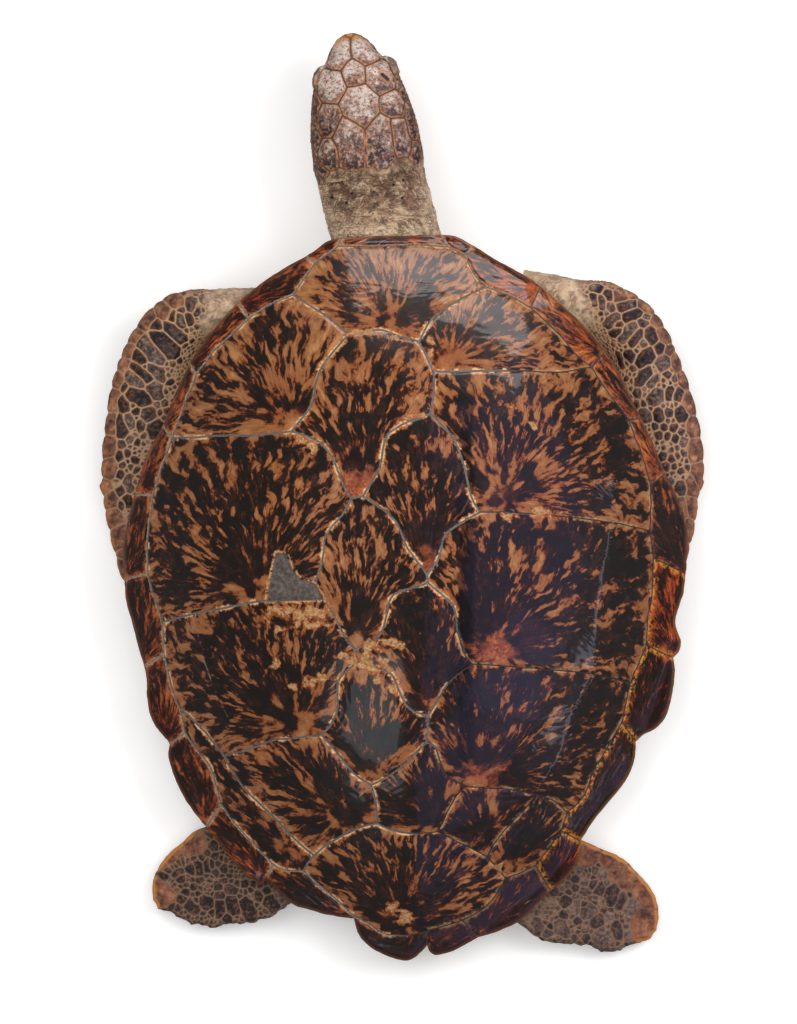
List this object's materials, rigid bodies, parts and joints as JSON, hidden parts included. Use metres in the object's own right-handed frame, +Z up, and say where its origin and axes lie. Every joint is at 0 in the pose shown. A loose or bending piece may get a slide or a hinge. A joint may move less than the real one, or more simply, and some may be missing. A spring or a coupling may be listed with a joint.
{
  "type": "mounted sea turtle",
  "caption": "Mounted sea turtle lying on its belly shell, with a varnished scute-covered shell, scaly head and four flippers spread to its sides.",
  "frame": {"origin": "on the flat bottom of the plastron, below the middle of the body", "axes": "-Y towards the head, +Y towards the tail, +X to the animal's left, +Z up through the shell"},
  "size_m": [0.6103, 0.9267, 0.2518],
  "materials": {
    "shell_horn": "varnished tortoiseshell",
    "belly_horn": "varnished horn",
    "body_hide": "dried wrinkled hide",
    "neck_hide": "dried wrinkled hide",
    "head_horn": "satin scales",
    "eye_glass": "polished dark glass",
    "flipper_scales": "satin scales",
    "hind_scales": "satin scales"
  },
  "bodies": {
    "root": {"carapace": "shell_horn", "plastron": "belly_horn", "body_skin": "body_hide", "neck": "neck_hide", "head": "head_horn", "lower_jaw": "head_horn", "eye_left": "eye_glass", "eye_right": "eye_glass", "fore_flipper_left": "flipper_scales", "fore_flipper_right": "flipper_scales", "hind_flipper_left": "hind_scales", "hind_flipper_right": "hind_scales", "tail": "hind_scales"}
  },
  "joints": []
}
